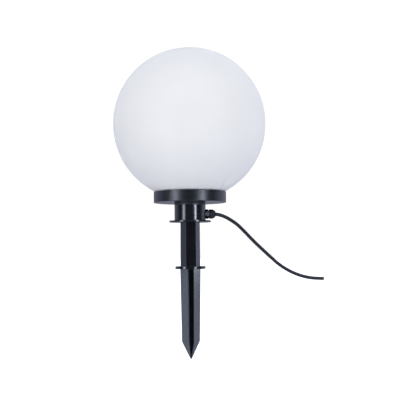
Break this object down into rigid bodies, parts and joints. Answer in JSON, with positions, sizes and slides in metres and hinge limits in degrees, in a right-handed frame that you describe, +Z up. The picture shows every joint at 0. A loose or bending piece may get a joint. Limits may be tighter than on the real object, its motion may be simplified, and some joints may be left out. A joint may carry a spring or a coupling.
{
  "type": "garden globe light",
  "caption": "Opal globe on a shallow black collar and neck, with a side cable gland and cord, on a hexagonal post with a stop disc and a cross-shaped ground spike.",
  "frame": {"origin": "centre of the stop disc's underside, which lies on the soil", "axes": "+Z up, +X to the side where the cord leaves, -Y front"},
  "size_m": [0.4316, 0.301, 0.6125],
  "materials": {
    "opal_globe": "opal white polyethylene, satin",
    "collar_plastic": "black, satin moulded",
    "neck_plastic": "black, glossy moulded",
    "spike_plastic": "black, glossy moulded",
    "gland_nylon": "black polyamide, half matt",
    "cord_rubber": "black rubber sheath",
    "seal_rubber": "black, matt",
    "zinc_steel": "zinc plated",
    "bridge_steel": "zinc plated sheet",
    "brass": "plain",
    "nickel_cap": "nickel plated, threaded",
    "wire_brown": "insulation",
    "wire_blue": "insulation",
    "terminal_plastic": "natural polyamide",
    "holder_plastic": "black thermoset",
    "bulb_white": "white, satin",
    "bulb_opal": "opal, satin",
    "led_board": "white lacquered board",
    "driver_board": "circuit board"
  },
  "bodies": {
    "spike": {"ground_spike": "spike_plastic", "spike_bolt": "zinc_steel", "spike_washer": "zinc_steel", "spigot_oring": "seal_rubber"},
    "head": {"base_collar": "collar_plastic", "neck_housing": "neck_plastic", "neck_gasket": "seal_rubber", "neck_screws": "zinc_steel", "gland_body": "gland_nylon", "gland_gasket": "seal_rubber", "gland_locknut": "gland_nylon", "supply_cord": "cord_rubber", "core_brown": "wire_brown", "core_blue": "wire_blue", "terminal_block": "terminal_plastic", "terminal_screws": "zinc_steel", "terminal_fixing_screw": "zinc_steel", "lampholder_bridge": "bridge_steel", "bridge_screws": "zinc_steel", "lampholder_body": "holder_plastic", "lampholder_shell": "brass", "lampholder_nut": "zinc_steel", "holder_wire_brown": "wire_brown", "holder_wire_blue": "wire_blue"},
    "gland_seal": {"gland_seal": "seal_rubber"},
    "gland_nut": {"gland_nut": "gland_nylon"},
    "globe_seal": {"globe_seal": "seal_rubber"},
    "globe": {"globe_diffuser": "opal_globe"},
    "contact": {"centre_contact": "brass"},
    "bulb": {"bulb_contact_tip": "brass", "bulb_cap_insulator": "holder_plastic", "bulb_cap": "nickel_cap", "bulb_housing": "bulb_white", "bulb_led_board": "led_board", "bulb_driver_board": "driver_board", "bulb_dome": "bulb_opal"}
  },
  "joints": [
    {"name": "head_turn", "type": "hinge", "parent": "spike", "child": "head", "pos_m": [0, 0, 0.097], "axis": [0, 0, 1], "continuous": true},
    {"name": "globe_turn", "type": "hinge", "parent": "head", "child": "globe_seal", "pos_m": [0, 0, 0.14], "axis": [0, 0, 1], "range_deg": [0, 270]},
    {"name": "globe_rise", "type": "slide", "parent": "globe_seal", "child": "globe", "axis": [0, 0, 1], "range_m": [0, 0.0121]},
    {"name": "bulb_rise", "type": "slide", "parent": "head", "child": "contact", "axis": [0, 0, 1], "range_m": [0, 0.00153]},
    {"name": "bulb_turn", "type": "hinge", "parent": "contact", "child": "bulb", "pos_m": [0, 0, 0.17], "axis": [0, 0, 1], "range_deg": [0, 150]},
    {"name": "gland_follow", "type": "slide", "parent": "head", "child": "gland_seal", "axis": [0.9659, 0.2588, 0], "range_m": [0, 0.0015]},
    {"name": "gland_nut_turn", "type": "hinge", "parent": "gland_seal", "child": "gland_nut", "pos_m": [0.04347, 0.01165, 0.1081], "axis": [0.9659, 0.2588, 0], "range_deg": [0, 361]}
  ],
  "couplings": [
    {"joint": "globe_rise", "follows": "globe_turn", "m_per_rad": 0.0025465},
    {"joint": "bulb_rise", "follows": "bulb_turn", "m_per_rad": 0.00057773},
    {"joint": "gland_nut_turn", "follows": "gland_follow", "rad_per_m": 4188.8}
  ]
}
